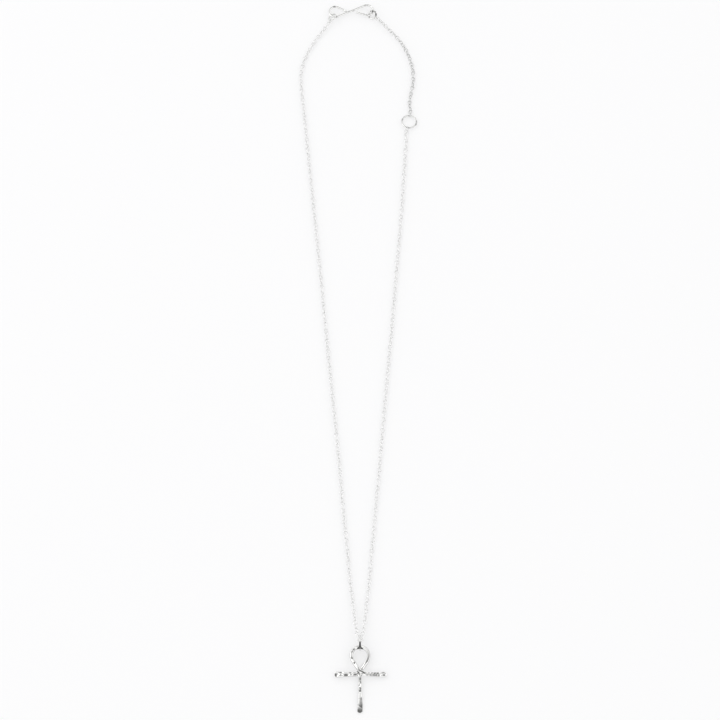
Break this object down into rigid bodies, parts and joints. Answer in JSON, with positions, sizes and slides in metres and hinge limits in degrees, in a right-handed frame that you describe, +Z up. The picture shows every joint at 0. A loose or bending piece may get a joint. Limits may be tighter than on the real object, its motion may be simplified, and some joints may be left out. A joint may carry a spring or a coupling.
{
  "type": "ankh pendant necklace on a cable chain, laid out flat",
  "caption": "Forged wire ankh pendant on a bail ring and a fine cable chain, with a shortening ring and an S hook clasp, laid out flat.",
  "frame": {"origin": "on the surface that the necklace lies on, at the middle of its outline seen from above", "axes": "+X to the right of the ankh seen from its front, +Y from the pendant up to the clasp, +Z up from the surface"},
  "size_m": [0.0517, 0.3263, 0.0061],
  "materials": {
    "forged_silver": "hammered, polished silver",
    "ring_silver": "polished silver wire",
    "chain_silver": "bright tumbled silver links"
  },
  "bodies": {
    "root": {"ankh": "forged_silver", "bail_ring": "ring_silver", "chain": "chain_silver", "chain_extension": "chain_silver", "adjust_ring": "ring_silver", "hook": "forged_silver", "end_ring_left": "ring_silver", "end_ring_right": "ring_silver"}
  },
  "joints": []
}
